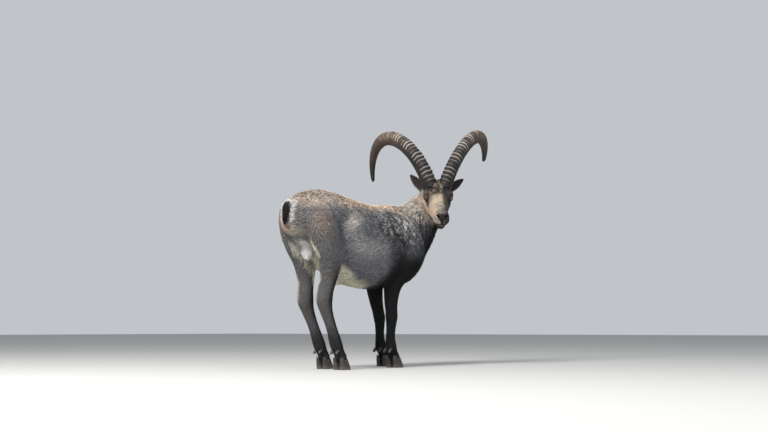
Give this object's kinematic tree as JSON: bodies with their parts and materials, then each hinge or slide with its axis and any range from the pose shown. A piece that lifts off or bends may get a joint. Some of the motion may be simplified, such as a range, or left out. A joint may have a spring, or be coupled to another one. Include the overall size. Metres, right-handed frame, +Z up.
{
  "type": "alpine ibex",
  "caption": "Adult male alpine ibex with long ridged horns, standing still and looking back over its right shoulder.",
  "frame": {"origin": "middle of the bounding box's bottom face, on the floor between the feet", "axes": "+X towards the chest, +Y to the animal's left, +Z up"},
  "size_m": [1.856, 0.841, 1.3503],
  "materials": {
    "coat": "short matt grey-brown hair",
    "dark_coat": "short matt near-black hair",
    "pale_coat": "short matt pale hair",
    "horn": "dry, cross-ridged horn",
    "hoof": "dull dark hoof horn",
    "eye": "wet amber-brown eye"
  },
  "bodies": {
    "root": {"ear_left": "coat", "ear_right": "coat", "eye_left": "eye", "eye_right": "eye", "foreleg_lower_left": "dark_coat", "foreleg_lower_right": "dark_coat", "foreleg_upper_left": "dark_coat", "foreleg_upper_right": "dark_coat", "head": "coat", "hindleg_lower_left": "dark_coat", "hindleg_lower_right": "dark_coat", "hindleg_upper_left": "dark_coat", "hindleg_upper_right": "dark_coat", "hoof_fore_left_inner": "hoof", "hoof_fore_left_outer": "hoof", "hoof_fore_right_inner": "hoof", "hoof_fore_right_outer": "hoof", "hoof_hind_left_inner": "hoof", "hoof_hind_left_outer": "hoof", "hoof_hind_right_inner": "hoof", "hoof_hind_right_outer": "hoof", "horn_left": "horn", "horn_right": "horn", "neck": "coat", "scrotum": "pale_coat", "tail": "dark_coat", "torso": "coat"}
  },
  "joints": []
}
